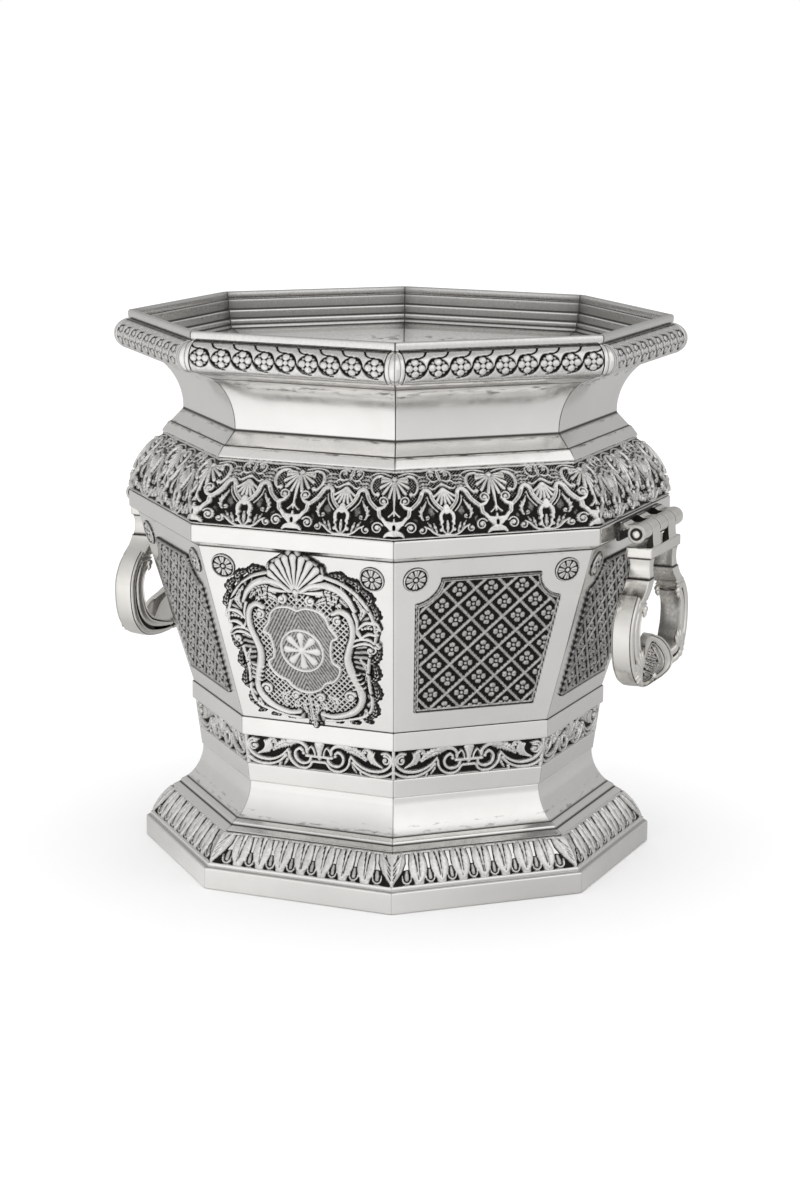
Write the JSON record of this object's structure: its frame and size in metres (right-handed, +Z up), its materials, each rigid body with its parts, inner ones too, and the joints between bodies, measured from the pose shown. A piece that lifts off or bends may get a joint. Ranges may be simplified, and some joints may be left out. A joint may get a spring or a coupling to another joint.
{
  "type": "champagne bucket",
  "caption": "Octagonal footed silver ice bucket with chased bands, trellis panels, a rosette rim and two hinged drop handles.",
  "frame": {"origin": "centre of the plinth's underside, where the bucket stands", "axes": "+Z up; the two handles are on +X and -X; the two cartouches face -Y and +Y"},
  "size_m": [0.2402, 0.2242, 0.23],
  "materials": {
    "silver_plain": "polished silver with fine scratches",
    "silver_chased": "chased silver, bright on top and oxidised dark in the ground",
    "silver_handle": "polished cast silver, slightly warm, dark in the grooves"
  },
  "bodies": {
    "bucket": {"side_panel_front": "silver_plain", "shoulder_frieze_front": "silver_chased", "scroll_frieze_front": "silver_chased", "leaf_band_front": "silver_chased", "rim_casting_front": "silver_chased", "cartouche_front": "silver_chased", "side_panel_front_right": "silver_plain", "shoulder_frieze_front_right": "silver_chased", "scroll_frieze_front_right": "silver_chased", "leaf_band_front_right": "silver_chased", "rim_casting_front_right": "silver_chased", "diaper_panel_front_right": "silver_chased", "side_panel_right": "silver_plain", "shoulder_frieze_right": "silver_chased", "scroll_frieze_right": "silver_chased", "leaf_band_right": "silver_chased", "rim_casting_right": "silver_chased", "diaper_panel_right": "silver_chased", "side_panel_back_right": "silver_plain", "shoulder_frieze_back_right": "silver_chased", "scroll_frieze_back_right": "silver_chased", "leaf_band_back_right": "silver_chased", "rim_casting_back_right": "silver_chased", "diaper_panel_back_right": "silver_chased", "side_panel_back": "silver_plain", "shoulder_frieze_back": "silver_chased", "scroll_frieze_back": "silver_chased", "leaf_band_back": "silver_chased", "rim_casting_back": "silver_chased", "cartouche_back": "silver_chased", "side_panel_back_left": "silver_plain", "shoulder_frieze_back_left": "silver_chased", "scroll_frieze_back_left": "silver_chased", "leaf_band_back_left": "silver_chased", "rim_casting_back_left": "silver_chased", "diaper_panel_back_left": "silver_chased", "side_panel_left": "silver_plain", "shoulder_frieze_left": "silver_chased", "scroll_frieze_left": "silver_chased", "leaf_band_left": "silver_chased", "rim_casting_left": "silver_chased", "diaper_panel_left": "silver_chased", "side_panel_front_left": "silver_plain", "shoulder_frieze_front_left": "silver_chased", "scroll_frieze_front_left": "silver_chased", "leaf_band_front_left": "silver_chased", "rim_casting_front_left": "silver_chased", "diaper_panel_front_left": "silver_chased", "paterae": "silver_chased", "rim_collars": "silver_plain", "lip_wire": "silver_plain", "foot_cove": "silver_plain", "plinth_ring": "silver_plain", "floor_plate": "silver_plain", "hinge_leaf_right": "silver_handle", "hinge_pin_right": "silver_handle", "hinge_leaf_left": "silver_handle", "hinge_pin_left": "silver_handle"},
    "handle_right": {"bail_right": "silver_handle"},
    "handle_left": {"bail_left": "silver_handle"}
  },
  "joints": [
    {"name": "handle_right_hinge", "type": "hinge", "parent": "bucket", "child": "handle_right", "pos_m": [0.1152, 0, 0.148], "axis": [0, -1, 0], "range_deg": [-16, 175]},
    {"name": "handle_left_hinge", "type": "hinge", "parent": "bucket", "child": "handle_left", "pos_m": [-0.1152, 0, 0.148], "axis": [0, 1, 0], "range_deg": [-16, 175]}
  ]
}
